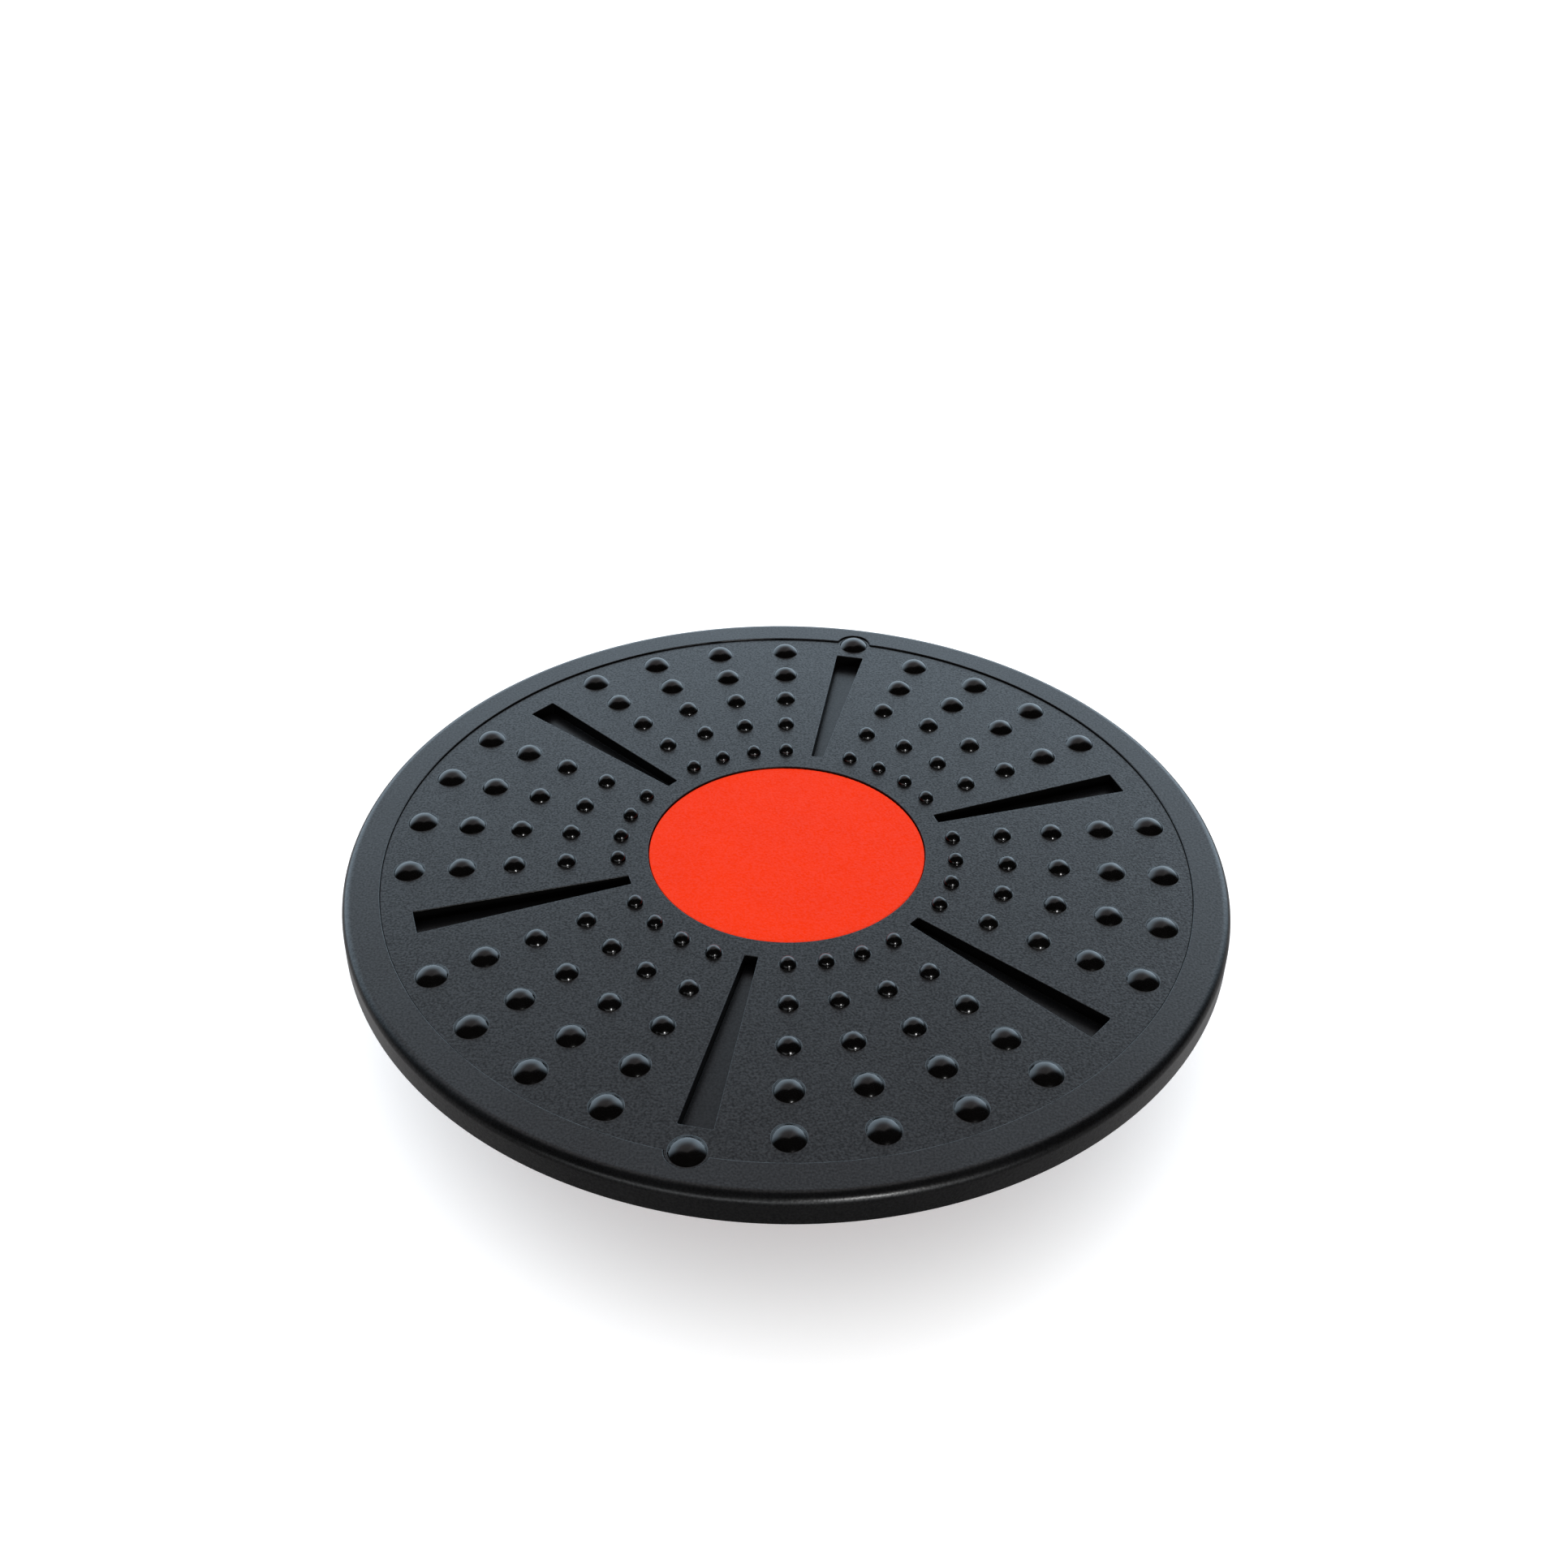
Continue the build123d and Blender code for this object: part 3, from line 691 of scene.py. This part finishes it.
def area_light(name, place, target, side, radiance, glossy=True):
    """Square light whose face shines with the given radiance."""
    data = bpy.data.lights.new(name, "AREA")
    data.shape = "RECTANGLE"
    data.size = side
    data.size_y = side
    data.energy = radiance * math.pi * side * side
    data.color = WHITE
    light = bpy.data.objects.new(name, data)
    light.location = place
    light.rotation_mode = "QUATERNION"
    light.rotation_quaternion = (Vector(target) - Vector(place)).to_track_quat("-Z", "Y")
    light.visible_camera = False
    light.visible_glossy = glossy
    bpy.context.scene.collection.objects.link(light)
    return light


def around(azimuth, elevation, distance):
    """Place seen from the deck. Azimuth 0 is behind the camera and 180 behind the object."""
    a, e = math.radians(azimuth), math.radians(elevation)
    return Vector((math.sin(a) * math.cos(e), -math.cos(a) * math.cos(e), math.sin(e))) * distance


CEILING_HEIGHT = 3.0                     # in metres
CEILING_SIDE = 8.0                       # in metres
CEILING_RADIANCE = 1.21
WINDOW_AZIMUTH = 17                      # small light that puts a spot on the inner domes
WINDOW_ELEVATION = 13
WINDOW_DISTANCE = 2.6                    # in metres
WINDOW_SIDE = 0.34                       # in metres
WINDOW_RADIANCE = 46.0
WHITE = (1, 1, 1)
# Soft wall behind the object: (sine of the elevation, colour).
BACK_GLOW = (
    (-0.02, (0.00, 0.00, 0.00)),
    (0.02, (0.68, 0.85, 1.00)),
    (0.48, (0.63, 0.78, 0.92)),
    (0.62, (0.46, 0.53, 0.59)),
    (0.78, (0.24, 0.235, 0.255)),
    (0.90, (0.22, 0.21, 0.215)),
    (1.00, (0.17, 0.16, 0.16)),
)
BACK_RADIANCE = 2.48
BACK_MIDDLE = -8.0                       # azimuth to the right of straight behind
BACK_SPREAD = (0.20, 0.72)               # cosine of the azimuth from the middle, none to full
RIGHT_RADIANCE = 0.70                    # a little more of the same from behind on the right
RIGHT_MIDDLE = 34.0
RIGHT_SPREAD = (0.93, 1.0)
# Lit floor as the rim reflects it: its colour, and its strength from in front to behind.
FLOOR_STOPS = (
    (-0.03, (0.98, 0.98, 1.00)),
    (0.00, (0.00, 0.00, 0.00)),
)
FLOOR_GLOW = (0.10, 0.42)
# Low bright band on the camera's side, which draws the light line along the front of the rim.
HORIZON_GLOW = (
    (-0.25, (0.00, 0.00, 0.00)),
    (-0.10, (0.94, 0.97, 1.00)),
    (0.08, (0.94, 0.97, 1.00)),
    (0.22, (0.00, 0.00, 0.00)),
)
HORIZON_RADIANCE = 1.6
HORIZON_SPREAD = (0.55, 0.90)
ROOM = (0.016, 0.014, 0.012)


def make_lights():
    """Large ceiling light for the shade, and a small light for the spots on the domes."""
    deck_centre = Vector((0, 0, DECK_TOP * MM))
    area_light("ceiling", (0, 0, CEILING_HEIGHT), (0, 0, 0), CEILING_SIDE, CEILING_RADIANCE,
               glossy=False)
    place = deck_centre + around(WINDOW_AZIMUTH, WINDOW_ELEVATION, WINDOW_DISTANCE)
    area_light("window", place, deck_centre, WINDOW_SIDE, WINDOW_RADIANCE)


def glow(tree, height, stops):
    """Colour of a stack of soft bands, from the sine of the elevation."""
    share = add_node(tree, "ShaderNodeMapRange", [("Value", height)])
    share.inputs["From Min"].default_value = -1.0
    share.inputs["From Max"].default_value = 1.0
    node = add_node(tree, "ShaderNodeValToRGB", [("Fac", share.outputs["Result"])])
    elements = node.color_ramp.elements
    while len(elements) < len(stops):
        elements.new(1.0)
    for element, (sine, colour) in zip(elements, stops):
        element.position = (sine + 1) / 2
        element.color = (*colour, 1)
    return node.outputs["Color"]


def toward(tree, way, azimuth, cosines, strengths):
    """Strength that grows towards an azimuth, 0 being straight behind the object."""
    a = math.radians(azimuth)
    flat_way = add_node(tree, "ShaderNodeVectorMath", [(0, way)], operation="MULTIPLY")
    flat_way.inputs[1].default_value = (1, 1, 0)
    unit = add_node(tree, "ShaderNodeVectorMath", [(0, flat_way.outputs[0])], operation="NORMALIZE")
    along = add_node(tree, "ShaderNodeVectorMath", [(0, unit.outputs[0])], operation="DOT_PRODUCT")
    along.inputs[1].default_value = (math.sin(a), math.cos(a), 0)
    node = add_node(tree, "ShaderNodeMapRange", [("Value", along.outputs["Value"])],
                    interpolation_type="SMOOTHSTEP")
    node.inputs["From Min"].default_value = cosines[0]
    node.inputs["From Max"].default_value = cosines[1]
    node.inputs["To Min"].default_value = strengths[0]
    node.inputs["To Max"].default_value = strengths[1]
    return node.outputs["Result"]


def make_world():
    """Bright soft wall behind the object and a dim room elsewhere, on a pale backdrop."""
    world = bpy.data.worlds.new("studio")
    bpy.context.scene.world = world
    world.cycles.sampling_method = "NONE"
    world.use_nodes = True
    tree = world.node_tree
    tree.nodes.clear()
    way = add_node(tree, "ShaderNodeTexCoord").outputs["Generated"]
    height = add_node(tree, "ShaderNodeSeparateXYZ", [("Vector", way)]).outputs["Z"]
    back = toward(tree, way, BACK_MIDDLE, BACK_SPREAD, (0.0, BACK_RADIANCE))
    right = toward(tree, way, RIGHT_MIDDLE, RIGHT_SPREAD, (0.0, RIGHT_RADIANCE))
    both = add_node(tree, "ShaderNodeMath", [(0, back), (1, right)], operation="ADD")
    wall = add_node(tree, "ShaderNodeBackground", [
        ("Color", glow(tree, height, BACK_GLOW)),
        ("Strength", both.outputs[0]),
    ])
    floor_glow = add_node(tree, "ShaderNodeBackground", [
        ("Color", glow(tree, height, FLOOR_STOPS)),
        ("Strength", toward(tree, way, 0.0, (-1.0, 1.0), FLOOR_GLOW)),
    ])
    horizon = add_node(tree, "ShaderNodeBackground", [
        ("Color", glow(tree, height, HORIZON_GLOW)),
        ("Strength", toward(tree, way, 180.0, HORIZON_SPREAD, (0.0, HORIZON_RADIANCE))),
    ])
    room = add_node(tree, "ShaderNodeBackground")
    room.inputs["Color"].default_value = (*ROOM, 1)
    studio = wall
    for part in (floor_glow, horizon, room):
        links = [(0, studio.outputs[0]), (1, part.outputs[0])]
        studio = add_node(tree, "ShaderNodeAddShader", links)
    backdrop = add_node(tree, "ShaderNodeBackground")
    backdrop.inputs["Color"].default_value = (1, 1, 1, 1)
    path = add_node(tree, "ShaderNodeLightPath")
    mix = add_node(tree, "ShaderNodeMixShader", [
        (0, path.outputs["Is Camera Ray"]),
        (1, studio.outputs[0]),
        (2, backdrop.outputs[0]),
    ])
    add_node(tree, "ShaderNodeOutputWorld", [("Surface", mix.outputs["Shader"])])


CAMERA_PLACE = (-2.6, -554.5, 448.9)     # from the middle of the deck's top, in millimetres
CAMERA_PITCH = 36.69                     # degrees below the horizon
CAMERA_ROLL = 0.737
CAMERA_LENS = 35.88


def make_camera():
    """Camera in front of the board, above it, looking down at its middle."""
    data = bpy.data.cameras.new("camera")
    data.lens = CAMERA_LENS
    data.sensor_width = 36.0
    data.clip_start = 0.02
    data.clip_end = 60.0
    camera = bpy.data.objects.new("camera", data)
    bpy.context.scene.collection.objects.link(camera)
    x, y, z = CAMERA_PLACE
    turn = Matrix.Rotation(math.radians(90 - CAMERA_PITCH), 4, "X") @ Matrix.Rotation(
        math.radians(CAMERA_ROLL), 4, "Z"
    )
    camera.matrix_world = Matrix.Translation(Vector((x, y, z + DECK_TOP)) * MM) @ turn
    bpy.context.scene.camera = camera


make_floor()
make_lights()
make_world()
make_camera()
bpy.context.scene.view_settings.view_transform = "Standard"
